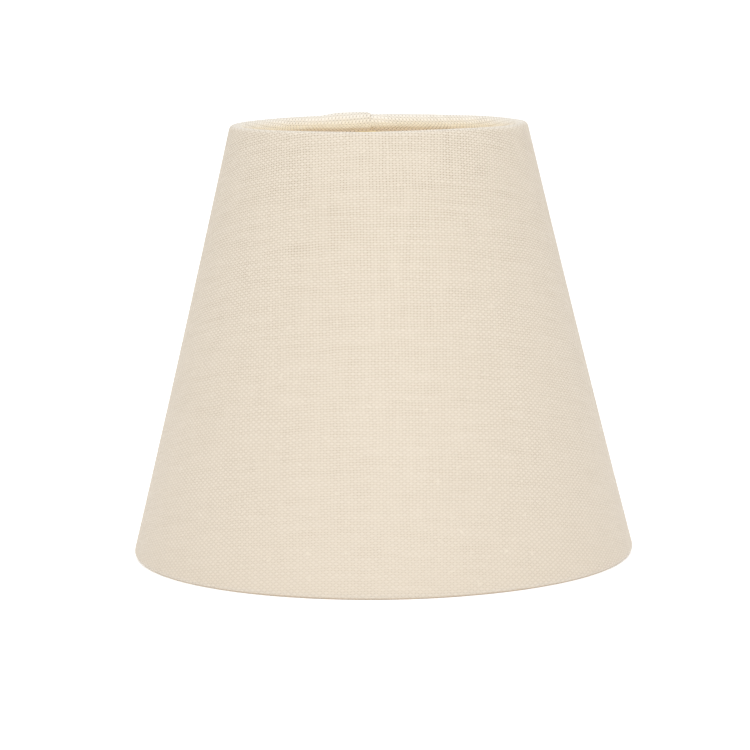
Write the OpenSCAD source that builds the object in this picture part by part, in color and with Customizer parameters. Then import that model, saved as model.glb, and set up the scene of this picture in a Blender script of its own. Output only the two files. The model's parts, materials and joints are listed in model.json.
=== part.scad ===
// Empire lamp shade: a linen and plastic panel rolled into a cone round two wire rings, hung on a
// reversible gimbal with a lift-out reducer ring. It stands on its bottom edge, the small end up.
// The axis is +Z, the front is -Y and the panel's overlap is at the back.

/* [Shade] */
// Outside diameter at the bottom edge
bottom_d = 200; // [160:5:240]
// Outside diameter at the top edge
top_d = 117; // [114:1:145]
// Height over the two rolled edges
shade_h = 171; // [135:1:220]

/* [Panel] */
// Thickness of the linen
cloth_t = 0.5; // [0.4:0.05:0.7]
// Thickness of the stiff plastic liner
liner_t = 0.4; // [0.3:0.05:0.6]
// Thickness of each film of adhesive
glue_t = 0.05; // [0.03:0.01:0.08]
// Linen turned in at the top, measured down the slope from the rim
top_hem = 8.5; // [7:0.5:15]
// Linen turned in at the bottom, measured up the slope from the edge
bottom_hem = 9.5; // [7:0.5:15]
// How far round the wire the turned-in linen clings, past its inner side
wrap_angle = 60; // [50:5:70]
// Radius of the bend that brings the turned-in linen back onto the liner
hem_bend_r = 1.2; // [1.1:0.1:2]
// Depth of the flat pressed into the bottom roll by standing on it
foot_press = 0.15; // [0.05:0.05:0.3]

/* [Overlap] */
// Width of the glued overlap
lap_w = 13; // [8:1:18]
// Angle of the overlap's folded edge, from +X towards +Y
lap_angle = 93; // [80:1:100]
// Thickness of the double-sided tape in the overlap
lap_tape_t = 0.1; // [0.08:0.01:0.2]
// Bare margin on each side of that tape
lap_tape_margin = 1; // [0.8:0.1:2]

/* [Wire rings] */
// Diameter of the ring wire
ring_wire_d = 2.5; // [2:0.1:3.2]
// Thickness of the double-sided tape wound on the rings
ring_tape_t = 0.15; // [0.1:0.05:0.3]

/* [Hinges] */
// Depth of the hinge axis below the rim
hinge_drop = 13; // [12:0.5:20]
// Width of the hinge lugs
lug_w = 8; // [7:0.5:10]
// Thickness of the lugs
lug_t = 1.2; // [1:0.1:1.5]
// How far the lugs step inwards below the ring
lug_step = 4; // [3.5:0.5:6]
// Radius of the lug's bends, on the middle of the strip
lug_bend_r = 1.4; // [1:0.1:2]
// Flat length of lug over the rivet's head, before the first bend
lug_head_room = 0.3; // [0.2:0.1:1]
// Clear space round a lug where it passes through the linen
slit_room = 0.4; // [0.3:0.1:0.6]
// Diameter of the rivet's shank
rivet_d = 3; // [2.5:0.1:4]
// Diameter of the rivet's head
rivet_head_d = 6; // [5.5:0.5:7]
// Height of the rivet's head
rivet_head_h = 1.2; // [1:0.1:1.6]
// Diameter of the rivet's hammered end
rivet_tail_d = 5; // [4.5:0.1:6]
// Height of the rivet's hammered end
rivet_tail_h = 1; // [0.8:0.1:1.4]
// Diameter of the friction washer
washer_d = 7; // [6.5:0.1:8]
// Thickness of the friction washer
washer_t = 0.4; // [0.3:0.05:0.6]
// Running clearance round the rivet, on the radius
pivot_clear = 0.05; // [0.03:0.01:0.08]
// Clearance on each face of a part that turns
face_clear = 0.05; // [0.04:0.01:0.1]
// Clearance between parts that are riveted or welded up
fixed_clear = 0.02; // [0.01:0.01:0.04]

/* [Gimbal] */
// Distance from the hinge axis down to the fitter ring
fitter_drop = 20; // [16:1:26]
// Diameter of the wire arms
arm_d = 2.8; // [2.4:0.1:3.2]
// Inside radius of the arms' bend, on the middle of the wire
arm_bend_r = 5; // [4:0.5:7]
// Diameter of the flattened eye on each arm
eye_d = 8; // [7:0.5:9]
// Thickness of the flattened eye
eye_t = 1.6; // [1.4:0.1:2]
// Length of the arm's coined neck, from the eye's centre to round wire
neck_h = 7; // [6:0.5:8]
// Diameter of the hole in the fitter ring
fitter_bore_d = 40; // [38:0.5:43]
// Width of the fitter ring's sheet, from the hole to the outside
fitter_rim_w = 7; // [6:0.5:9]
// Thickness of the fitter ring's sheet steel
sheet_t = 1; // [0.8:0.1:1.4]
// Height of the fitter ring's turned-up edge, over its underside
edge_h = 3.6; // [3:0.1:5]
// Radius of the bend below that edge, on the middle of the sheet
edge_bend_r = 1.4; // [1:0.1:2]
// How far the arms reach in under the fitter ring
weld_l = 6; // [4:0.5:6]

/* [Reducer] */
// Bore that sits on the lampholder
reducer_bore_d = 29; // [27:0.5:31]
// How far the reducer's flange reaches past the fitter ring's hole
flange_lip = 3; // [2:0.5:4]
// Thickness of the flange and the web
flange_t = 1.6; // [1.2:0.1:2.2]
// Thickness of the two collars
collar_t = 1.5; // [1.2:0.1:1.8]
// Depth of the collars below the flange
collar_h = 4; // [3:0.5:6]
// Number of ribs between the collars
rib_count = 8; // [4:1:12]
// Thickness of the ribs
rib_t = 1; // [0.8:0.1:1.4]
// Number of slots that let the outer collar spring
slot_count = 4; // [2:1:6]
// Width of those slots
slot_w = 2; // [1:0.5:3]
// Clearance of the outer collar in the fitter ring, on the radius
collar_clear = 0.3; // [0.2:0.05:0.4]
// Clearance under the flange
seat_clear = 0.05; // [0.04:0.01:0.1]

/* [Hidden] */
$fn = 96;

linen_colour = [0.90, 0.86, 0.79];
liner_colour = [0.95, 0.93, 0.87];
tape_colour = [0.86, 0.82, 0.70];
zinc_colour = [0.74, 0.75, 0.75];
plastic_colour = [0.93, 0.93, 0.90];

// Turn between two points of a bend
arc_step = 15;
// Lean of the wall from upright
slope = atan((bottom_d - top_d) / 2 / shade_h);
// Radii over the ring: the taped wire, then the middle of the linen where it clings to it
wire_r = ring_wire_d / 2;
tape_r = wire_r + glue_t + ring_tape_t;
cling_r = tape_r + glue_t + cloth_t / 2;
// The roll also takes in the liner, so its middle line is half a liner wider
roll_mid_r = cling_r + (liner_t + glue_t) / 2;
roll_r = roll_mid_r + cloth_t / 2;
// Depth of the layers below the linen's outer face
liner_out = cloth_t + glue_t;
liner_in = liner_out + liner_t;
wire_depth = liner_in + glue_t + tape_r;
// Distances up the slope where the two rolls start
roll_low = (roll_r - foot_press + roll_r * sin(slope)) / cos(slope);
roll_high = (shade_h - roll_r + roll_r * sin(slope)) / cos(slope);
// How far the overlap's top layer stands off, outside the panel and inside the hems
lap_out = cloth_t + liner_t + lap_tape_t + 3 * glue_t;
lap_in = cloth_t + glue_t;
// Radius and distance once round, half way up the shade, where the overlap's width is measured
lap_r = (bottom_d + top_d) / 4;
full_turn = 2 * PI * lap_r;
// Where the top layer's liner starts, and where the two layers step down, from the folded edge
liner_start = cloth_t + glue_t;
liner_step = lap_w + glue_t;
liner_end = liner_step + liner_t;
cloth_step = liner_end + glue_t;
lap_end = cloth_step + cloth_t;
// Run of the linen from the wire to the liner, and what it takes up of a hem's depth
hem_run = (tape_r - cloth_t / 2 + cling_r * cos(wrap_angle) - hem_bend_r * (1 - cos(wrap_angle)))
    / sin(wrap_angle);
hem_used = roll_r + (cling_r + hem_bend_r) * sin(wrap_angle) + hem_run * cos(wrap_angle);

// Places of the hinge, from the wire of the top ring
top_wire = on_wall(roll_high, -wire_depth);
hinge_z = shade_h - hinge_drop;
lug_face_x = sqrt(pow(top_wire.x - wire_r, 2) - pow(lug_w / 2, 2)) - fixed_clear;
lug_out_x = lug_face_x - lug_step;
lug_in_x = lug_out_x - lug_t;
washer_in_x = lug_in_x - fixed_clear - washer_t;
eye_out_x = washer_in_x - face_clear;
eye_in_x = eye_out_x - eye_t;
tail_x = eye_in_x - face_clear;
arm_x = eye_out_x - arm_d / 2;
// The fitter ring and its underside, the arms welded to it, and the reducer that sits in it
fitter_d = fitter_bore_d + 2 * fitter_rim_w;
flange_d = fitter_bore_d + 2 * flange_lip;
fitter_z = hinge_z - fitter_drop;
arm_z = fitter_z - fixed_clear - arm_d / 2;
arm_end_x = fitter_d / 2 - weld_l;
flange_z = fitter_z + sheet_t + seat_clear;
collar_out_r = fitter_bore_d / 2 - collar_clear;

// A point s up the slope from the bottom edge's outer corner, n outwards from the linen's outer face
function on_wall(s, n) = [bottom_d / 2 - s * sin(slope) + n * cos(slope), s * cos(slope) + n * sin(slope)];

// A section is traced as [x, y, heading] stations: each step is [run, turn, radius of the turn]
function forward(a, d) = [a.x + d * cos(a.z), a.y + d * sin(a.z), a.z];
function turned(a, turn, r) = let (k = sign(turn), b = a.z + turn)
    [a.x + k * r * (sin(b) - sin(a.z)), a.y - k * r * (cos(b) - cos(a.z)), b];
function leg(a, step) = let (f = forward(a, step[0]), n = ceil(abs(step[1]) / arc_step)) concat(
    step[0] > 0 ? [f] : [],
    n > 0 ? [for (k = [1:n]) turned(f, step[1] * k / n, step[2])] : []);
function trace(a, steps, i = 0) = i == len(steps) ? [a] : let (l = leg(a, steps[i]))
    concat([a], [for (k = [0:1:len(l) - 2]) l[k]], trace(l[len(l) - 1], steps, i + 1));
function side(path, d) = [for (a = path) [a.x + d * sin(a.z), a.y - d * cos(a.z)]];
function reversed(v) = [for (i = [len(v) - 1:-1:0]) v[i]];
function band(path, t) = concat(side(path, t / 2), reversed(side(path, -t / 2)));

// The linen from the middle of the wall over one roll to its cut edge. k is 1 for the top and -1 for
// the bottom; out and in are how far the layer stands off outside the wall and inside the hem.
function linen_path(k, out, in) = let (
    mid = (roll_low + roll_high) / 2,
    start = on_wall(mid, out - cloth_t / 2),
    hem = k > 0 ? top_hem : bottom_hem)
    trace([start.x, start.y, (k > 0 ? 90 : 270) + slope], [
        [roll_high - mid, k * 180, roll_mid_r + (out + in) / 2],
        [0, k * wrap_angle, cling_r + in],
        [hem_run, -k * wrap_angle, hem_bend_r - in],
        [hem - hem_used, 0, 0]]);

// The faces of the two layers, each as [how far out, how far in, offset from the layer's middle]
base_face = [0, 0, cloth_t / 2];
base_back = [0, 0, -cloth_t / 2];
lap_face = [lap_out, lap_in, cloth_t / 2];
lap_back = [lap_out, lap_in, -cloth_t / 2];

// A section of linen from its first face in to its last. Its cut edges have a corner at every face
// between, so that neighbouring sections meet corner to corner.
function face_line(k, face) = side(linen_path(k, face[0], face[1]), k * face[2]);
function cut_edge(k, faces) = [for (i = [1:1:len(faces) - 2]) let (l = face_line(k, faces[i])) l[len(l) - 1]];
function linen_section(faces) = let (last = faces[len(faces) - 1]) concat(
    reversed(face_line(-1, faces[0])),
    face_line(1, faces[0]),
    cut_edge(1, faces),
    reversed(face_line(1, last)),
    face_line(-1, last),
    reversed(cut_edge(-1, faces)));

// A flat strip of the wall from roll to roll, with corners at each depth in a list
function wall_section(depths) = concat(
    [for (n = depths) on_wall(roll_low, n)],
    [for (n = reversed(depths)) on_wall(roll_high, n)]);

// The angle at t past the overlap's folded edge, t being measured half way up the shade
function lap_turn(t) = lap_angle + round(t / lap_r * 180 / PI * 1000) / 1000;

// A section turned about the axis from t0 to t1 past the folded edge, and cut off at the foot
module round_from(t0, t1, points) {
    rotate_extrude(start = lap_turn(t0), angle = lap_turn(t1) - lap_turn(t0)) intersection() {
        polygon(points);
        square([bottom_d, 2 * shade_h]);
    }
}

// side is 1 on the right and -1 on the left
module on_side(side) {
    if (side > 0) children();
    else mirror([1, 0, 0]) children();
}

// A part turned about the hinge axis, drawn along +Z from x
module on_hinge(side, x) {
    on_side(side) translate([x, 0, hinge_z]) rotate([0, 90, 0]) children();
}

// Room for a lug where it meets the ring: from under the linen's roll to over the wire's middle, and
// from inside the lug to a little way into the wire
module lug_slit(side) {
    low_z = top_wire.y - wire_r * 2;
    high_z = top_wire.y + wire_r * 0.6;
    inner_x = lug_face_x - lug_t - slit_room;
    outer_x = top_wire.x - wire_r * 0.6;
    width = lug_w + 2 * slit_room;
    on_side(side) translate([inner_x, -width / 2, low_z]) cube([outer_x - inner_x, width, high_z - low_z]);
}

// One piece of linen: the wall, both rolled edges, and the overlap's top layer. The edge of the lower
// layer lies under the top one, which steps down just past it; the folded edge is glued down.
module linen_cover() {
    color(linen_colour) difference() {
        union() {
            round_from(lap_end, lap_w + full_turn, linen_section([base_face, base_back]));
            round_from(cloth_step, lap_end, linen_section([lap_face, lap_back, base_face, base_back]));
            round_from(cloth_t, cloth_step, linen_section([lap_face, lap_back]));
            round_from(0, cloth_t, linen_section([lap_face, lap_back, base_face]));
        }
        lug_slit(1);
        lug_slit(-1);
    }
}

// The stiff plastic sheet that the linen is laminated to, with the same overlap
module liner_panel() {
    top_in = lap_out - liner_in;
    top_out = lap_out - liner_out;
    color(liner_colour) union() {
        round_from(liner_end, lap_w + full_turn, wall_section([-liner_in, -liner_out]));
        round_from(liner_step, liner_end, wall_section([-liner_in, -liner_out, top_in, top_out]));
        round_from(liner_start, liner_step, wall_section([top_in, top_out]));
    }
}

// The double-sided tape that holds the overlap
module lap_tape() {
    color(tape_colour) round_from(lap_tape_margin, lap_w - lap_tape_margin,
        wall_section([glue_t, glue_t + lap_tape_t]));
}

module wire_ring(at) {
    color(zinc_colour) rotate_extrude() translate(at) circle(wire_r);
}

// The tape wound on a ring, which the linen sticks to
module ring_tape(at) {
    color(tape_colour) rotate_extrude() translate(at) difference() {
        circle(tape_r);
        circle(wire_r + glue_t);
    }
}

module top_ring_tape() {
    difference() {
        ring_tape(top_wire);
        lug_slit(1);
        lug_slit(-1);
    }
}

// A strip of steel, welded inside the ring and stepped inwards to the hinge
module hinge_lug(side) {
    top_z = top_wire.y + wire_r * 0.25;
    step_run = (lug_step - 2 * lug_bend_r * (1 - cos(45))) / sin(45);
    path = trace([lug_in_x + lug_t / 2, hinge_z, 90], [
        [rivet_head_d / 2 + lug_head_room, -45, lug_bend_r],
        [step_run, 45, lug_bend_r],
        [shade_h, 0, 0]]);
    color(zinc_colour) on_side(side) difference() {
        union() {
            intersection() {
                translate([0, lug_w / 2, 0]) rotate([90, 0, 0]) linear_extrude(lug_w) polygon(band(path, lug_t));
                translate([0, -lug_w / 2, hinge_z]) cube([bottom_d, lug_w, top_z - hinge_z]);
            }
            translate([lug_in_x, 0, hinge_z]) rotate([0, 90, 0]) cylinder(h = lug_t, d = lug_w);
        }
        translate([0, 0, hinge_z]) rotate([0, 90, 0]) cylinder(h = bottom_d, d = rivet_d + 2 * fixed_clear);
    }
}

// A thin spring washer that keeps the hinge stiff
module friction_washer(side) {
    color(zinc_colour) on_hinge(side, washer_in_x) difference() {
        cylinder(h = washer_t, d = washer_d);
        translate([0, 0, -1]) cylinder(h = washer_t + 2, d = rivet_d + 2 * fixed_clear);
    }
}

// A domed rivet: the head is outside the lug and the hammered end inside the arm
module pivot_rivet(side) {
    shank_l = lug_out_x - tail_x;
    color(zinc_colour) on_hinge(side, tail_x) rotate_extrude() polygon([
        [0, -rivet_tail_h],
        [rivet_tail_d * 0.35, -rivet_tail_h],
        [rivet_tail_d / 2, -rivet_tail_h * 0.4],
        [rivet_tail_d / 2, 0],
        [rivet_d / 2, 0],
        [rivet_d / 2, shank_l + fixed_clear],
        [rivet_head_d / 2, shank_l + fixed_clear],
        for (a = [arc_step:arc_step:90])
            [rivet_head_d / 2 * cos(a), shank_l + fixed_clear + rivet_head_h * sin(a)]]);
}

// A wire arm: a flattened eye on the rivet, then down and in to the fitter ring
module gimbal_arm(side) {
    round_z = hinge_z - neck_h;
    color(zinc_colour) on_side(side) difference() {
        union() {
            translate([eye_in_x, 0, hinge_z]) rotate([0, 90, 0]) cylinder(h = eye_t, d = eye_d);
            translate([eye_in_x, 0, hinge_z]) rotate([90, 0, 90]) linear_extrude(eye_t)
                polygon([[-eye_d * 0.45, 0], [-arm_d / 2, -neck_h], [arm_d / 2, -neck_h], [eye_d * 0.45, 0]]);
            translate([arm_x, 0, arm_z + arm_bend_r]) cylinder(h = round_z - arm_z - arm_bend_r, d = arm_d);
            translate([arm_x - arm_bend_r, 0, arm_z + arm_bend_r]) rotate([90, 90, 0])
                rotate_extrude(angle = 90) translate([arm_bend_r, 0]) circle(d = arm_d);
            translate([arm_end_x, 0, arm_z]) rotate([0, 90, 0])
                cylinder(h = arm_x - arm_bend_r - arm_end_x, d = arm_d);
        }
        translate([0, 0, hinge_z]) rotate([0, 90, 0])
            cylinder(h = bottom_d, d = rivet_d + 2 * pivot_clear);
    }
}

// A pressed steel ring with a turned-up edge that holds the reducer
module fitter_ring() {
    bore_r = fitter_bore_d / 2;
    flat_l = fitter_d / 2 - sheet_t / 2 - edge_bend_r - bore_r;
    path = trace([bore_r, fitter_z + sheet_t / 2, 0], [
        [flat_l, 90, edge_bend_r],
        [edge_h - sheet_t / 2 - edge_bend_r, 0, 0]]);
    color(zinc_colour) rotate_extrude() polygon(band(path, sheet_t));
}

// The moulded ring that takes the fitter's hole down to a small lampholder
module reducer_ring() {
    bore_r = reducer_bore_d / 2;
    collar_in_r = collar_out_r - collar_t;
    color(plastic_colour) difference() {
        union() {
            translate([0, 0, flange_z]) cylinder(h = flange_t, d = flange_d);
            translate([0, 0, flange_z - collar_h]) cylinder(h = collar_h, r = bore_r + collar_t);
            translate([0, 0, flange_z - collar_h]) difference() {
                cylinder(h = collar_h, r = collar_out_r);
                translate([0, 0, -1]) cylinder(h = collar_h + 1, r = collar_in_r);
                for (i = [0:slot_count - 1])
                    rotate([0, 0, (i + 0.5) * 360 / slot_count])
                        translate([bore_r + collar_t, -slot_w / 2, -1])
                            cube([collar_out_r, slot_w, collar_h + 1]);
            }
            for (i = [0:rib_count - 1])
                rotate([0, 0, i * 360 / rib_count])
                    translate([bore_r + collar_t / 2, -rib_t / 2, flange_z - collar_h / 2])
                        cube([collar_out_r - bore_r - collar_t, rib_t, collar_h / 2 + flange_t / 2]);
        }
        translate([0, 0, flange_z - collar_h - 1]) cylinder(h = collar_h + flange_t + 2, r = bore_r);
    }
}

linen_cover();
liner_panel();
lap_tape();
wire_ring(top_wire);  // top_ring
wire_ring(on_wall(roll_low, -wire_depth));  // bottom_ring
top_ring_tape();
ring_tape(on_wall(roll_low, -wire_depth));  // bottom_ring_tape
hinge_lug(-1);  // hinge_lug_left
hinge_lug(1);  // hinge_lug_right
friction_washer(-1);  // friction_washer_left
friction_washer(1);  // friction_washer_right
pivot_rivet(-1);  // pivot_rivet_left
pivot_rivet(1);  // pivot_rivet_right
gimbal_arm(-1);  // gimbal_arm_left
gimbal_arm(1);  // gimbal_arm_right
fitter_ring();
reducer_ring();
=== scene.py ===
# A small empire lamp shade: linen laminated on a plastic liner, rolled into a cone round two wire
# rings, with a reversible gimbal fitter and a lift-out reducer ring. It stands on its bottom edge.
import json
import math

import bpy
from mathutils import Matrix, Vector

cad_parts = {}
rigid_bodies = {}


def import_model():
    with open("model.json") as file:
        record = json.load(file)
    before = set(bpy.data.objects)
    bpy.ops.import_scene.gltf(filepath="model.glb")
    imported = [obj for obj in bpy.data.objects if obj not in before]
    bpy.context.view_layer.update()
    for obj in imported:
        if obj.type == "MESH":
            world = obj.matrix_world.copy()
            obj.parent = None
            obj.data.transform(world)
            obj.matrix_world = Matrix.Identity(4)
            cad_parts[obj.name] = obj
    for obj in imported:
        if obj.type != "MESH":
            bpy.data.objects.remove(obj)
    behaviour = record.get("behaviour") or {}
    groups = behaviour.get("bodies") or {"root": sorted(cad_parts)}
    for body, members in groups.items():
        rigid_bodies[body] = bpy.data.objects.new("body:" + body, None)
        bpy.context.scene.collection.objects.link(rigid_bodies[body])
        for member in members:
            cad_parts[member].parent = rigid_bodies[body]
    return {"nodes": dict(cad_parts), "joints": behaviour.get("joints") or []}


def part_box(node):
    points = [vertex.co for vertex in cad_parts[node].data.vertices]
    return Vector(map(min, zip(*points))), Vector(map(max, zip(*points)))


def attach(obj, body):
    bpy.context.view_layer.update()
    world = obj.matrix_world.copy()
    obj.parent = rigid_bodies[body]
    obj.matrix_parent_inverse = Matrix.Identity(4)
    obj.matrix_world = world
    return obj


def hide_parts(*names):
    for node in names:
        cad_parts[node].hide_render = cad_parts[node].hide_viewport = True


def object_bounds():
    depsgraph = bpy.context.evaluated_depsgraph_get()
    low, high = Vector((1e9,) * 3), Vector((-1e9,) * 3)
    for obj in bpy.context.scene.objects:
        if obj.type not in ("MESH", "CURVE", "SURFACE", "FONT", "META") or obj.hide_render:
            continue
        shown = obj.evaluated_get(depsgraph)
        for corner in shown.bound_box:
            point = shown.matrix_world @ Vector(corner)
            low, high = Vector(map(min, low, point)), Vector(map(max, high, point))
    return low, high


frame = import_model()
cad_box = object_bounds()
scene = bpy.context.scene
mm = 0.001

# ---- Camera ----
# A long lens a little above the rim, looking slightly down on the front of the shade, and held a
# trace out of level.
camera = bpy.data.objects.new("camera", bpy.data.cameras.new("camera"))
scene.collection.objects.link(camera)
scene.camera = camera
camera.data.lens = 152.8
camera.data.sensor_width = 36
camera_place = Vector((-2.6, -1255.7, 246.0)) * mm
look_down, lean = math.radians(7.956), math.radians(-0.71)
camera.matrix_world = (
    Matrix.Translation(camera_place)
    @ Matrix.Rotation(math.pi / 2 - look_down, 4, "X")
    @ Matrix.Rotation(lean, 4, "Z")
)


# ---- Wire rings and hinge lugs ----
# Two rings of mild steel wire hold the shade's shape, and a strip of the same steel is welded inside
# the top one at each side to carry the hinge. All are bright zinc plated: silver, a little clouded.
class Tree:
    """A node tree, and the one way in which nodes are added to it."""

    def __init__(self, tree):
        self.tree = tree

    def set(self, node, sockets):
        for name, value in sockets.items():
            if isinstance(value, Value):
                self.tree.links.new(value.socket, node.inputs[name])
            else:
                node.inputs[name].default_value = value

    def node(self, kind, settings=None, sockets=None, out=0):
        """Adds a node, its settings first and then its sockets, and returns the value of one output."""
        made = self.tree.nodes.new(kind)
        for name, value in (settings or {}).items():
            setattr(made, name, value)
        self.set(made, sockets or {})
        return Value(self, made.outputs[out])


class Value:
    """What one output of a node gives. Sums of values add Math nodes to their tree."""

    def __init__(self, tree, socket):
        self.tree, self.socket = tree, socket

    def out(self, name):
        """Another output of the same node."""
        return Value(self.tree, self.socket.node.outputs[name])

    def math(self, operation, *others):
        sockets = dict(enumerate((self, *others)))
        return self.tree.node("ShaderNodeMath", {"operation": operation}, sockets)

    def __add__(self, other):
        return self.math("ADD", other)

    def __sub__(self, other):
        return self.math("SUBTRACT", other)

    def __mul__(self, other):
        return self.math("MULTIPLY", other)

    def __truediv__(self, other):
        return self.math("DIVIDE", other)

    def __pow__(self, other):
        return self.math("POWER", other)

    def __rsub__(self, other):
        return (self * -1) + other

    def __rtruediv__(self, other):
        return (self**-1) * other

    __radd__, __rmul__ = __add__, __mul__

    def smooth(self, low, high):
        """0 below low and 1 above high, with a smooth rise between."""
        ends = {0: self, 1: low, 2: high}
        return self.tree.node("ShaderNodeMapRange", {"interpolation_type": "SMOOTHSTEP"}, ends)

    def mix(self, a, b, blend="MIX"):
        """Colour a where this is 0 and colour b where it is 1."""
        settings = {"data_type": "RGBA", "blend_type": blend}
        a, b = (x if isinstance(x, Value) else (*x, 1) for x in (a, b))
        return self.tree.node("ShaderNodeMix", settings, {0: self, 6: a, 7: b}, out=2)

    def scaled(self, by):
        """A vector times another."""
        return self.tree.node("ShaderNodeVectorMath", {"operation": "MULTIPLY"}, {0: self, 1: by})

    def axes(self):
        split = self.tree.node("ShaderNodeSeparateXYZ", None, {0: self})
        return split, split.out("Y"), split.out("Z")


def vector(tree, x, y, z=0):
    return tree.node("ShaderNodeCombineXYZ", None, {0: x, 1: y, 2: z})


def noise(tree, place, scale, detail=2.0, dimensions="3D", **sockets):
    sockets.update({"Vector": place, "Scale": scale, "Detail": detail})
    return tree.node("ShaderNodeTexNoise", {"noise_dimensions": dimensions}, sockets)


def bumped(tree, height):
    """A normal from a height in metres."""
    return tree.node("ShaderNodeBump", None, {"Height": height, "Strength": 1, "Distance": 1})


def new_finish(name, **sockets):
    """A material with one Principled shader, whose sockets have these values."""
    material = bpy.data.materials.new(name)
    material.use_nodes = True
    shader = material.node_tree.nodes["Principled BSDF"]
    for socket, value in sockets.items():
        shader.inputs[socket.replace("_", " ")].default_value = value
    return material, Tree(material.node_tree), shader


def plated_finish(name, bright, dull, grain, roughness):
    """Plated steel: clouded between two greys, with the faint lines of drawing or rolling along X."""
    cloud_scale, speck_scale, drawn_out = 160, 2600, (0.12, 1, 1)
    line_h, cloud_h = 0.006 * mm, 0.01 * mm
    material, tree, shader = new_finish(name, Metallic=1.0)
    place = tree.node("ShaderNodeTexCoord").out("Object")
    cloud = noise(tree, place, cloud_scale, 4)
    lines = noise(tree, place.scaled(drawn_out), grain, 3)
    speck = noise(tree, place, speck_scale, 2).smooth(0.62, 0.8)
    tree.set(shader, {
        "Base Color": (cloud.smooth(0.35, 0.65) * (1 - speck * 0.4)).mix(dull, bright),
        "Roughness": cloud * 0.22 + lines * 0.12 + speck * 0.1 + (roughness - 0.17),
        "Normal": bumped(tree, lines * line_h + cloud * cloud_h)})
    return material


def give(nodes, material):
    """Gives CAD nodes a finish."""
    for node in nodes:
        slots = frame["nodes"][node].data.materials
        slots.clear()
        slots.append(material)


zinc = plated_finish("zinc_plate", (0.62, 0.63, 0.645), (0.42, 0.43, 0.445), 1500, 0.3)
give(["top_ring", "bottom_ring", "hinge_lug_left", "hinge_lug_right"], zinc)

# ---- Ring tapes and overlap tape ----
# Clear double-sided tape is wound on the rings before the panel is rolled round them, and a strip of
# it holds the overlap. It is honey coloured where it is thick, and shows only in the lugs' slits.
tape_finish, tree, shader = new_finish("adhesive_tape", Roughness=0.35)
place = tree.node("ShaderNodeTexCoord").out("Object")
turns = tree.node("ShaderNodeTexWave", {"bands_direction": "Z"}, {
    "Vector": place, "Scale": 900, "Distortion": 3})
streaks = noise(tree, place, 300, 3)
tree.set(shader, {
    "Base Color": streaks.mix((0.80, 0.72, 0.52), (0.90, 0.85, 0.70)),
    "Roughness": streaks * 0.3 + 0.2,
    "Normal": bumped(tree, turns * 2e-5)})
give(["top_ring_tape", "bottom_ring_tape", "lap_tape"], tape_finish)

# ---- Hinges ----
# A nickel plated rivet pins each arm to its lug, over a thin spring washer of plain steel that gives
# the hinge its friction. The washers show the round marks of the turning tool.
washer_finish, tree, shader = new_finish("spring_steel", Metallic=1.0)
hinge_z = frame["joints"][0]["pos_m"][2]
place = tree.node("ShaderNodeTexCoord").out("Object")
_, y, z = place.axes()
from_pin = (y * y + (z - hinge_z) * (z - hinge_z)) ** 0.5
marks = noise(tree, vector(tree, from_pin, 0), 9000, 2)
stain = noise(tree, place, 500, 4)
tree.set(shader, {
    "Base Color": stain.smooth(0.4, 0.7).mix((0.46, 0.46, 0.45), (0.32, 0.31, 0.29)),
    "Roughness": marks * 0.2 + stain * 0.15 + 0.22,
    "Normal": bumped(tree, marks * 8e-6)})
give(["friction_washer_left", "friction_washer_right"], washer_finish)
nickel = plated_finish("nickel_plate", (0.60, 0.58, 0.54), (0.48, 0.46, 0.42), 900, 0.22)
give(["pivot_rivet_left", "pivot_rivet_right"], nickel)

# ---- Gimbal ----
# Two wire arms with flattened eyes hang on the rivets and carry a pressed steel ring, which they are
# spot welded to from below. They are plated after welding, so the beads are silver too.
give(["gimbal_arm_left", "gimbal_arm_right", "fitter_ring"], zinc)

bead_l, bead_w, bead_h, bead_ripple = 4.6 * mm, 0.9 * mm, 0.8 * mm, 0.35 * mm
bead_inset, bead_side, bead_drop = 3.2 * mm, 1.18 * mm, 0.25 * mm
ring_low, ring_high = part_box("fitter_ring")
bead_places = bpy.data.meshes.new("bead_places")
bead_places.from_pydata([
    (end * (ring_high.x - bead_inset), edge * bead_side, ring_low.z - bead_drop)
    for end in (1, -1) for edge in (1, -1)], [], [])


def new_geometry_tree(name, inputs):
    """A Geometry Nodes tree with a geometry in and out, and one named input for each value given."""
    group = bpy.data.node_groups.new(name, "GeometryNodeTree")
    group.interface.new_socket("Geometry", in_out="OUTPUT", socket_type="NodeSocketGeometry")
    group.interface.new_socket("Geometry", in_out="INPUT", socket_type="NodeSocketGeometry")
    kinds = {int: "Int", float: "Float", bpy.types.Material: "Material", bpy.types.Object: "Object"}
    for label, value in inputs.items():
        group.interface.new_socket(label, in_out="INPUT", socket_type="NodeSocket" + kinds[type(value)])
    tree = Tree(group)
    given = tree.node("NodeGroupInput")
    return tree, given


def end_tree(tree, geometry, material):
    """Ends a tree as plain mesh with its finish."""
    real = tree.node("GeometryNodeRealizeInstances", None, {0: geometry})
    done = tree.node("GeometryNodeSetMaterial", None, {0: real, "Material": material})
    tree.set(tree.tree.nodes.new("NodeGroupOutput"), {0: done})


def grown(name, start, tree, inputs):
    """The plain mesh object that a tree makes of a start mesh, with the tree's named inputs set."""
    seed = bpy.data.objects.new(name + "_start", start)
    scene.collection.objects.link(seed)
    modifier = seed.modifiers.new("grow", "NODES")
    modifier.node_group = tree.tree
    for item in tree.tree.interface.items_tree:
        if item.in_out == "INPUT" and item.name in inputs:
            modifier[item.identifier] = inputs[item.name]
    bpy.context.view_layer.update()
    graph = bpy.context.evaluated_depsgraph_get()
    mesh = bpy.data.meshes.new_from_object(
        seed.evaluated_get(graph), preserve_all_data_layers=True, depsgraph=graph)
    bpy.data.objects.remove(seed)
    mesh.name = name
    piece = bpy.data.objects.new(name, mesh)
    scene.collection.objects.link(piece)
    return piece


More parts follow.
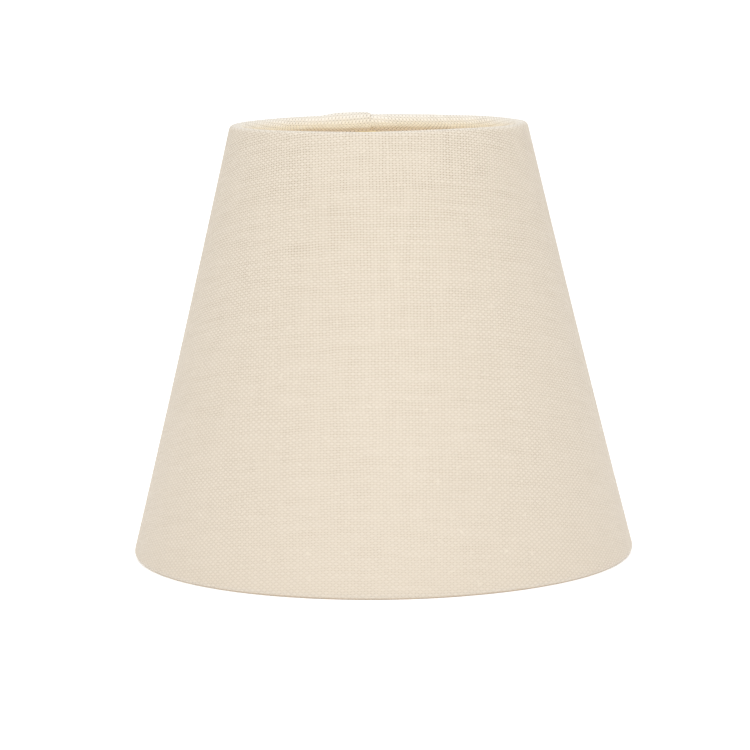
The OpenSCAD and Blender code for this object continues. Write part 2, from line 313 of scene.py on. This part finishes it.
bead_inputs = {"Length": bead_l, "Width": bead_w, "Height": bead_h, "Seed": 4, "Finish": zinc}
tree, given = new_geometry_tree("Weld beads", bead_inputs)
ball = tree.node("GeometryNodeMeshIcoSphere", None, {"Radius": 0.5, "Subdivisions": 4})
sized = tree.node("GeometryNodeTransform", None, {
    0: ball, "Scale": vector(tree, given.out("Length"), given.out("Width"), given.out("Height"))})
beads = tree.node("GeometryNodeInstanceOnPoints", None, {
    "Points": given.out("Geometry"), "Instance": sized})
real = tree.node("GeometryNodeRealizeInstances", None, {0: beads})
spot = tree.node("GeometryNodeInputPosition")
ripple = noise(tree, spot, 900, 2, "4D", W=given.out("Seed")) - 0.5
push = tree.node("ShaderNodeVectorMath", {"operation": "SCALE"}, {
    0: tree.node("GeometryNodeInputNormal"), "Scale": ripple * bead_ripple})
lumpy = tree.node("GeometryNodeSetPosition", None, {"Geometry": real, "Offset": push})
smooth = tree.node("GeometryNodeSetShadeSmooth", None, {0: lumpy})
end_tree(tree, smooth, given.out("Finish"))
weld_beads = grown("weld_beads", bead_places, tree, bead_inputs)
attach(weld_beads, "gimbal")

# ---- Reducer ring ----
# An injection moulded ring of white plastic drops into the fitter ring and takes its hole down to a
# small lampholder. The moulding has a fine matt spark finish, and faint flow marks round the hole.
reducer_finish, tree, shader = new_finish("moulded_white", IOR=1.49)
place = tree.node("ShaderNodeTexCoord").out("Object")
flow = noise(tree, place.scaled((1, 1, 3)), 70, 3, Distortion=1.5)
spark = noise(tree, place, 5200, 3)
tree.set(shader, {
    "Base Color": flow.mix((0.56, 0.56, 0.535), (0.61, 0.61, 0.59)),
    "Roughness": flow * 0.12 + spark * 0.14 + 0.28,
    "Normal": bumped(tree, spark * 7e-6)})
give(["reducer_ring"], reducer_finish)

# ---- Liner ----
# The stiff sheet that the linen is laminated to: cream plastic, 0.4 mm thick, rolled with the linen
# and overlapped at the back. Daylight that comes through it is painted as a warm glow of the sheet
# itself, so the inside of the shade looks lit.
cloth_t, liner_t, glue_t, ring_tape_t, lap_tape_t = 0.5 * mm, 0.4 * mm, 0.05 * mm, 0.15 * mm, 0.1 * mm
lap_w, lap_turn, front_turn, step_w = 13 * mm, math.radians(93), math.radians(270), 9 * mm
top_low, top_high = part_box("top_ring")
_, base_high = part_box("bottom_ring")
wire_r = (top_high.z - top_low.z) / 2
top_wire = Vector((top_high.x - wire_r, top_high.z - wire_r))
base_wire = Vector((base_high.x - wire_r, base_high.z - wire_r))
slope = math.atan2(base_wire.x - top_wire.x, top_wire.y - base_wire.y)
wall_l = (top_wire - base_wire).length
up_wall = Vector((-math.sin(slope), math.cos(slope)))
out_wall = Vector((math.cos(slope), math.sin(slope)))
tape_r = wire_r + glue_t + ring_tape_t
lap_out = cloth_t + liner_t + lap_tape_t + 3 * glue_t
lap_in = cloth_t + glue_t


def traced(start, heading, steps):
    """Stations (r, z, heading, length so far) along a path. Each step is a straight run in so many
    pieces, and then a turn of a radius. Distances are in metres and angles in radians."""
    r, z, length = start.x, start.y, 0.0
    found = [(r, z, heading, length)]
    arc_step = math.radians(12)
    for run, pieces, turn, radius in steps:
        for _ in range(pieces):
            r, z = r + run / pieces * math.cos(heading), z + run / pieces * math.sin(heading)
            length += run / pieces
            found.append((r, z, heading, length))
        parts = math.ceil(abs(turn) / arc_step)
        for _ in range(parts):
            hinge = heading + math.copysign(math.pi / 2, turn)
            cr, cz = r + radius * math.cos(hinge), z + radius * math.sin(hinge)
            heading += turn / parts
            back = heading - math.copysign(math.pi / 2, turn)
            r, z = cr + radius * math.cos(back), cz + radius * math.sin(back)
            length += radius * abs(turn) / parts
            found.append((r, z, heading, length))
    return found


def station_mesh(name, stations):
    """The stations of a panel's section as loose points, with what the rolling needs to know of each."""
    mesh = bpy.data.meshes.new(name)
    mesh.from_pydata([(s["r"], 0, s["z"]) for s in stations], [], [])
    for key in ("out_r", "out_z", "run", "stand", "slit", "cut"):
        values = mesh.attributes.new(key, "FLOAT", "POINT")
        values.data.foreach_set("value", [s[key] for s in stations])
    return mesh


def plan_mesh(name, first, columns, slits=()):
    """The panel's plan as loose points (turn in radians, share of the overlap, lift off the layer
    below). It starts with the top layer's own points, steps down, goes round, and ends underneath."""
    points = [(0, share, lift) for share, lift in first]
    down = 1 + step_w / lap_w
    step_parts, spread_out, last = 6, math.pi / 2, (0.25, 0.5, 0.75, 1)
    for i in range(step_parts + 1):
        t = i / step_parts
        points.append((0, 1 + (down - 1) * t, 1 - t * t * (3 - 2 * t)))
    turns = [math.tau * i / columns for i in range(1, columns + 1)]
    for edge in slits:
        nearest = min(range(columns), key=lambda i: abs(turns[i] - edge))
        turns[nearest] = edge
    points += [(turn, down * max(0, 1 - turn / spread_out) ** 2, 0) for turn in turns]
    points += [(math.tau, share, 0) for share in last]
    mesh = bpy.data.meshes.new(name)
    mesh.from_pydata(points, [], [])
    plan = bpy.data.objects.new(name, mesh)
    scene.collection.objects.link(plan)
    plan.hide_render = True
    return plan


# The rim's dips and rises, where it was turned in by hand: [angle, half width, height in mm]
rim_waves = [[100, 9, 0.1], [150, 30, -0.25], [205, 25, -0.2], [60, 20, -0.15], [20, 14, -0.25],
             [262, 12, -0.15], [300, 14, 0.15], [335, 14, -0.2]]
foot_waves = [[215, 16, -0.1], [250, 14, 0.15], [290, 14, 0.1], [325, 16, -0.1]]
# How far from each end the waves begin, and how near the end they are full
rim_reach, foot_reach, wave_full = 35 * mm, 30 * mm, 4 * mm
# Noise scales of the wall's dents, of the fraying, and of the scissors' wander, and the dents' squash
dent_scale, fray_scale, wander_scale, dent_squash = 1.7, 38, 2.6, 8
# Side of the square that the flat panel is drawn into, and how far up it the cone's apex lies
bake_span, bake_rise = 0.62, 0.72


def panel_tree(name, inputs):
    """Rolls a section round the axis: each column of a grid is the section at one point of the plan."""
    tree, given = new_geometry_tree(name, inputs)

    def count(geometry):
        return tree.node("GeometryNodeAttributeDomainSize", {"component": "MESH"}, {0: geometry})

    def sample(geometry, value, index, kind="FLOAT"):
        settings = {"data_type": kind, "domain": "POINT"}
        sockets = {"Geometry": geometry, "Value": value, "Index": index}
        return tree.node("GeometryNodeSampleIndex", settings, sockets)

    section = given.out("Geometry")
    plan = tree.node("GeometryNodeObjectInfo", None, {"Object": given.out("Plan")}).out("Geometry")
    rows, columns = count(section), count(plan)
    grid = tree.node("GeometryNodeMeshGrid", None, {
        "Size X": 1, "Size Y": 1, "Vertices X": columns, "Vertices Y": rows})
    spot = tree.node("GeometryNodeInputPosition")
    x, y, _ = spot.axes()
    column = ((x + 0.5) * (columns - 1)).math("ROUND")
    row = ((y + 0.5) * (rows - 1)).math("ROUND")
    turn, share, lift = sample(plan, spot, column, "FLOAT_VECTOR").axes()
    r, _, z = sample(section, spot, row, "FLOAT_VECTOR").axes()

    def known(key):
        named = tree.node("GeometryNodeInputNamedAttribute", {"data_type": "FLOAT"}, {"Name": key})
        return sample(section, named, row)

    out_r, out_z, run, stand, slit, cut = map(known, ("out_r", "out_z", "run", "stand", "slit", "cut"))
    angle = turn + share * given.out("Overlap") / r + given.out("Overlap angle")
    flat_turn = (angle - given.out("Front angle")) * given.out("Cone sine")
    apex = run + given.out("Apex distance")
    flat = vector(tree, apex * flat_turn.math("SINE"), apex * flat_turn.math("COSINE") * -1)

    def waves(bumps, strength):
        total = None
        for at, width, height in bumps:
            away = (angle - math.radians(at) + math.pi).math("FLOORED_MODULO", math.tau) - math.pi
            share = (away * (1 / math.radians(width))).math("POWER", 2)
            bump = share.math("MULTIPLY", -1).math("EXPONENT") * (height * mm)
            total = bump if total is None else total + bump
        return total * strength

    def uneven(scale, detail, seed_step):
        """Noise round the shade, from -0.5 to 0.5."""
        return noise(tree, ring, scale, detail, "4D", W=given.out("Seed") + seed_step) - 0.5

    rim = (z - given.out("Rim height")).smooth(-rim_reach, -wave_full)
    foot = z.smooth(foot_reach, wave_full)
    ring = vector(tree, angle.math("COSINE"), angle.math("SINE"), z * dent_squash)
    dent = uneven(dent_scale, 2, 0) * given.out("Dents")
    frayed = uneven(fray_scale, 3, 5) * cut * given.out("Ragged")
    wander = uneven(wander_scale, 1, 9) * cut * given.out("Wander")
    middle = (1 - (run / given.out("Half height")) ** 2).math("MAXIMUM", 0)
    off = lift * stand * given.out("Lap height") + dent - middle * given.out("Hollow")
    trim = frayed + wander
    new_r = r + off * out_r + trim * out_z
    new_z = z + off * out_z - trim * out_r + waves(rim_waves, rim) + waves(foot_waves, foot)
    new_z = new_z.math("MAXIMUM", given.out("Foot height"))

    def stored(geometry, name, value, kind, domain):
        settings = {"data_type": kind, "domain": domain}
        sockets = {"Geometry": geometry, "Name": name, "Value": value}
        return tree.node("GeometryNodeStoreNamedAttribute", settings, sockets)

    unit = vector(tree, flat.axes()[0] / bake_span + 0.5, flat.axes()[1] / bake_span + bake_rise)
    held = stored(grid, "flat", flat, "FLOAT2", "CORNER")
    held = stored(held, "OFBake", unit, "FLOAT2", "CORNER")
    held = stored(held, "slit", slit, "FLOAT", "POINT")
    place = vector(tree, new_r * angle.math("COSINE"), new_r * angle.math("SINE"), new_z)
    rolled = tree.node("GeometryNodeSetPosition", None, {"Geometry": held, "Position": place})
    _, y, _ = tree.node("GeometryNodeInputPosition").axes()
    opened = tree.node("GeometryNodeInputNamedAttribute", {"data_type": "FLOAT"}, {"Name": "slit"})
    near = y.math("ABSOLUTE").math("LESS_THAN", given.out("Slit half width"))
    cut_out = tree.node("GeometryNodeDeleteGeometry", {"domain": "FACE"}, {
        "Geometry": rolled, "Selection": near * opened.math("GREATER_THAN", 0.5)})
    smooth = tree.node("GeometryNodeSetShadeSmooth", None, {0: cut_out})
    end_tree(tree, smooth, given.out("Finish"))
    return tree


# The sheet's emission is painted light: a warm glow in place of daylight coming through it
liner_finish, tree, shader = new_finish(
    "liner_sheet", IOR=1.5, Emission_Color=(1.0, 0.82, 0.40, 1), Emission_Strength=0.2)
place = tree.node("ShaderNodeTexCoord").out("Object")
cloud = noise(tree, place, 40, 3)
pebble = noise(tree, place, 2400, 2)
tree.set(shader, {
    "Base Color": cloud.mix((0.80, 0.72, 0.47), (0.84, 0.76, 0.51)),
    "Roughness": pebble * 0.2 + 0.4,
    "Normal": bumped(tree, pebble * 1.2e-5)})

liner_depth = cloth_t + glue_t + liner_t / 2
wire_depth = cloth_t + glue_t + liner_t + glue_t + tape_r
cling_r = tape_r + glue_t + cloth_t / 2
roll_r = cling_r + (liner_t + glue_t) / 2
wall_middle = (top_wire + base_wire) / 2 + out_wall * wire_depth
roll_at = wall_l / 2
apex_l = wall_middle.x / math.sin(slope)
liner_rows, liner_stations = 14, []
for i in range(liner_rows + 1):
    s = -roll_at + 2 * roll_at * i / liner_rows
    at = wall_middle - up_wall * s - out_wall * liner_depth
    liner_stations.append({"r": at.x, "z": at.y, "out_r": out_wall.x, "out_z": out_wall.y,
                           "run": s, "stand": 1, "slit": 0, "cut": 0})
liner_first, plan_columns = [(0.05, 1), (0.3, 1), (0.6, 1), (0.9, 1)], 300
panel_inputs = {
    "Plan": plan_mesh("liner_plan", liner_first, plan_columns),
    "Overlap": lap_w,
    "Overlap angle": lap_turn,
    "Front angle": front_turn,
    "Cone sine": math.sin(slope),
    "Apex distance": apex_l,
    "Lap height": lap_out,
    "Rim height": cad_box[1].z,
    "Foot height": cloth_t / 2,
    "Half height": roll_at,
    "Hollow": 0.35 * mm,
    "Dents": 0.2 * mm,
    "Ragged": 0.0,
    "Wander": 0.0,
    "Slit half width": 0.0,
    "Seed": 3,
    "Finish": liner_finish,
}
panel = panel_tree("Rolled panel", panel_inputs)
liner = grown("liner_sheet", station_mesh("liner_section", liner_stations), panel, panel_inputs)
solid = liner.modifiers.new("thickness", "SOLIDIFY")
solid.thickness, solid.offset = liner_t, 0
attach(liner, "shade")
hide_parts("liner_panel")

# ---- Linen ----
# One piece of undyed plain-weave linen, laminated on the liner, turned in over both rings and glued
# down inside. Its warp runs up the front, and the cone turns it to the bias towards the back seam.
warp_pitch, weft_pitch, drift = 1.245 * mm, 0.96 * mm, 1.1 * mm
top_hem, base_hem = 7.6 * mm, 9.5 * mm
wrap, hem_bend_r = math.radians(45), 2 * mm
hem_drop = tape_r - cloth_t / 2 + cling_r * math.cos(wrap) - hem_bend_r * (1 - math.cos(wrap))
hem_run = hem_drop / math.sin(wrap)
hem_used = roll_r + cloth_t / 2 + (cling_r + hem_bend_r) * math.sin(wrap) + hem_run * math.cos(wrap)
slit_half, slit_end = 4.4 * mm, top_wire.y - 3.2 * mm
slit_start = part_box("hinge_lug_left")[1].z + 0.4 * mm
cut_reach = 4 * mm


def cloth_half(k, hem):
    """The section from the middle of the wall over one ring to the cut edge. k is 1 at the top."""
    start = wall_middle - out_wall * cloth_t / 2
    path = traced(start, k * math.pi / 2 + slope, [
        (roll_at, 9, k * math.pi, roll_r),
        (0, 0, k * wrap, cling_r),
        (hem_run, 2, -k * wrap, hem_bend_r),
        (hem - hem_used, 4, 0, 0)])
    total = path[-1][3]
    found = []
    for r, z, heading, length in path:
        out = heading - k * math.pi / 2
        past = min(1, max(0, (length - roll_at) / (math.pi * roll_r)))
        found.append({
            "r": r, "z": z, "out_r": math.cos(out), "out_z": math.sin(out), "run": -k * length,
            "stand": 1 + (lap_in / lap_out - 1) * past,
            "slit": float(k > 0 and past > 0.5 and slit_end < z < slit_start),
            "cut": -k * max(0, 1 - (total - length) / cut_reach)})
    return found


cloth_stations = cloth_half(1, top_hem)[:0:-1] + cloth_half(-1, base_hem)
fold = [(0.02, 0.43), (0.03, 0.6), (0.07, 0.76), (0.12, 0.87), (0.18, 0.95), (0.25, 1)]
cloth_first = fold + [(share, 1) for share in (0.4, 0.6, 0.8)]
slit_turn = math.asin(slit_half / (top_wire.x - cling_r))
slit_edges = [a + b for a in (math.pi, math.tau) for b in (slit_turn, -slit_turn)]
cloth_inputs = dict(panel_inputs)

linen, tree, shader = new_finish(
    "natural_linen", Roughness=0.6, Specular_IOR_Level=0.42, Emission_Strength=0.68)
# How fast the threads drift, and how far off the straight grain the bias starts and is full
drift_scale, bias_start, bias_full = 60, 0.04, 0.18
# A thread in shares of its pitch: half its width, more in a slub, more at the rim, more on the bias
warp_w, warp_slub_w, warp_rim_w, warp_bias_w = 0.27, 0.24, 0.055, -0.07
weft_w, weft_slub_w, weft_rim_w, weft_bias_w = 0.36, 0.30, -0.145, 0.06
# Slubs: the noise's lane from one thread to the next, and how fast it changes along a thread
warp_lane, warp_slub_scale = 7.31, 55
weft_lane, weft_first, weft_slub_scale = 5.17, 300, 45
thread_round, thread_over, painted_bead_highlight = 0.5, 0.35, 0.032
fibre_scale, patch_scale, nub_scale = 2600, 28, (260, 420)
thread_h, fibre_h, nub_h = 0.2 * mm, 0.03 * mm, 0.06 * mm
flat = tree.node("ShaderNodeUVMap", {"uv_map": "flat"})
across, along, _ = flat.axes()
drift_x, drift_y, _ = noise(tree, flat, drift_scale, 2, "2D").out("Color").axes()
warp = (across + (drift_x - 0.5) * drift) / warp_pitch
weft = (along + (drift_y - 0.5) * drift) / weft_pitch
warp_no, weft_no = warp.math("FLOOR"), weft.math("FLOOR")
u, v = warp - warp_no - 0.5, weft - weft_no - 0.5
bow_u, bow_v = (u * math.pi).math("COSINE"), (v * math.pi).math("COSINE")
side = 1 - (warp_no + weft_no).math("FLOORED_MODULO", 2) * 2
# Each thread has its own thick and thin places
warp_slub = noise(tree, vector(tree, warp_no * warp_lane, along * warp_slub_scale), 1, 2, "2D")
weft_track = weft_no * weft_lane + weft_first
weft_slub = noise(tree, vector(tree, weft_track, across * weft_slub_scale), 1, 2, "2D")
# The cloth is drawn tightest at the rim, where the weft is thinner and the pores open
_, _, level = tree.node("ShaderNodeTexCoord").out("Object").axes()
share_up = level / cad_box[1].z
# Off the straight grain, towards the sides, the wefts close up, and the crossings are painted lighter as
# highlights on the beads
bias = (across / along).math("ABSOLUTE").smooth(bias_start, bias_full)
bead = side * -1 * bow_u * bow_v
warp_half = warp_w + warp_slub * warp_slub_w + share_up * warp_rim_w + bias * warp_bias_w
weft_half = weft_w + weft_slub * weft_slub_w + share_up * weft_rim_w + bias * weft_bias_w
warp_high = (1 - (u / warp_half) ** 2) * thread_round + side * bow_v * thread_over
weft_high = (1 - (v / weft_half) ** 2) * thread_round - side * bow_u * thread_over
height = warp_high.math("SMOOTH_MAX", weft_high, 0.12)
on_weft = (weft_high - warp_high).smooth(-0.1, 0.1)
fibres = noise(tree, vector(tree, across * fibre_scale, along * fibre_scale), 1, 3, "2D")
patch = noise(tree, flat, patch_scale, 3, "2D")
nub = noise(tree, vector(tree, across * nub_scale[0], along * nub_scale[1]), 1, 1, "2D")
nub = nub.smooth(0.74, 0.82)
# The weft is tinted lighter than the warp, partly the yarn's own tone and partly painted light on the
# tops of the level wefts, lit from above
warp_tint = (warp_slub * 0.7 + fibres * 0.3).mix((0.477, 0.413, 0.328), (0.514, 0.456, 0.372))
weft_tint = (weft_slub * 0.7 + fibres * 0.3).mix((0.514, 0.454, 0.369), (0.56, 0.503, 0.425))
thread = on_weft.mix(warp_tint, weft_tint)
# Over the wall, the sheet and glue behind show in the pores, which are painted dark as the shade in the
# gaps between threads, and towards the foot the weave fades into an even tone
wall_pore_shade = patch.mix((0.22, 0.155, 0.09), (0.265, 0.195, 0.125))
openness = share_up * 0.4 + 0.6
even_tone = (0.475, 0.413, 0.339)
# The turn-ins have no sheet and glue behind them: the top one is paler than the wall, partly from that
# and partly as a painted highlight on its rolled rim, with pores painted darker inwards as shade, and
# the bottom one is painted warmer and darker, as shade under the rolled foot
from_apex = (across * across + along * along) ** 0.5 - apex_l
turned_in = from_apex.math("ABSOLUTE").smooth(roll_at, roll_at + 3 * mm)
underside = from_apex.smooth(roll_at + 1 * mm, roll_at + 3 * mm)
past_wall = from_apex * -1 - roll_at
pore_shade_depth = past_wall.smooth(5 * mm, 10 * mm)
turn_in_pore_shade = pore_shade_depth.mix((0.26, 0.21, 0.15), (0.06, 0.035, 0.018))
# Where the threads dip, the colour goes to the pores' painted shade
woven = height.smooth(-0.2, 0.45).mix(turned_in.mix(wall_pore_shade, turn_in_pore_shade), thread)
# The thread crossings at the sides get a painted highlight here
glued = openness.mix(even_tone, woven).scaled(1 + bead * bias * painted_bead_highlight)
unglued_tone_and_painted_light = underside.mix((1.07, 1.13, 1.22), (1.05, 0.95, 0.82))
surface = turned_in.mix(glued, unglued_tone_and_painted_light, "MULTIPLY")
# Daylight that comes through the single cloth of the top turn-in is painted as a glow, which fades to
# amber at its cut edge
edge_light = past_wall.smooth(8 * mm, 12.5 * mm).mix((1, 1, 1.04), (0.25, 0.08, 0)).scaled(surface)
glow = past_wall.smooth(2.5 * mm, 7.5 * mm).mix((0, 0, 0), edge_light)
relief = height * thread_h * openness + fibres * fibre_h + nub * nub_h
tree.set(shader, {
    "Base Color": (nub * 0.35).mix(surface, (0.60, 0.54, 0.45)),
    "Emission Color": glow,
    "Normal": bumped(tree, relief)})

cloth_inputs.update({
    "Plan": plan_mesh("linen_plan", cloth_first, plan_columns, [a - lap_turn for a in slit_edges]),
    "Ragged": 0.8 * mm, "Wander": 2 * mm, "Slit half width": slit_half, "Finish": linen})
cloth = grown("linen_cloth", station_mesh("linen_section", cloth_stations), panel, cloth_inputs)
solid = cloth.modifiers.new("thickness", "SOLIDIFY")
solid.thickness, solid.offset = cloth_t, 0
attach(cloth, "shade")
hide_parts("linen_cover")
sector = math.tau * math.sin(slope) + lap_w / wall_middle.x * math.sin(slope)
apex_out = apex_l + cloth_stations[-1]["run"]
apex_in = apex_l + cloth_stations[0]["run"]
cut_area = sector / 2 * (apex_out**2 - apex_in**2)
cut_w, cut_l = 2 * apex_out * math.sin(sector / 2), apex_out - apex_in * math.cos(sector / 2)

# ---- Floor and light ----
# A plain white floor and even studio light from all round, a little stronger from the front. The
# floor gives a little light of its own, so the foot of the shade hardly darkens it.
reach = 30
floor_mesh = bpy.data.meshes.new("floor")
floor_corners = [(-reach, -reach, 0), (reach, -reach, 0), (reach, reach, 0), (-reach, reach, 0)]
floor_mesh.from_pydata(floor_corners, [], [(0, 1, 2, 3)])
floor = bpy.data.objects.new("floor", floor_mesh)
scene.collection.objects.link(floor)
floor_finish, tree, shader = new_finish(
    "floor_paint", Roughness=0.9, Emission_Color=(1, 1, 1, 1), Emission_Strength=0.2)
place = tree.node("ShaderNodeTexCoord").out("Object")
tree.set(shader, {"Base Color": noise(tree, place, 20, 2).mix((0.94, 0.94, 0.94), (0.95, 0.95, 0.95))})
floor_mesh.materials.append(floor_finish)

scene.world = bpy.data.worlds.new("studio")
scene.world.use_nodes = True
sky = scene.world.node_tree.nodes["Background"].inputs
sky["Color"].default_value, sky["Strength"].default_value = (1, 1, 1, 1), 1.09
scene.view_settings.view_transform = "Standard"


def softbox(name, place, aim, size, power):
    """A square lamp that faces a point."""
    data = bpy.data.lights.new(name, "AREA")
    data.shape, data.size, data.energy = "SQUARE", size, power
    lamp = bpy.data.objects.new(name, data)
    lamp.location = place
    lamp.rotation_euler = (Vector(aim) - Vector(place)).to_track_quat("-Z", "Y").to_euler()
    scene.collection.objects.link(lamp)


softbox("front_box", (0, -1.9, 0.9), (0, 0, 0.08), 0.9, 10)
softbox("top_box", (0, -0.4, 2.0), (0, 0, 0.17), 1.6, 17)

# ---- The plan objects are removed ----
for leftover in [o for o in scene.objects if o.name.endswith("_plan")]:
    bpy.data.objects.remove(leftover)
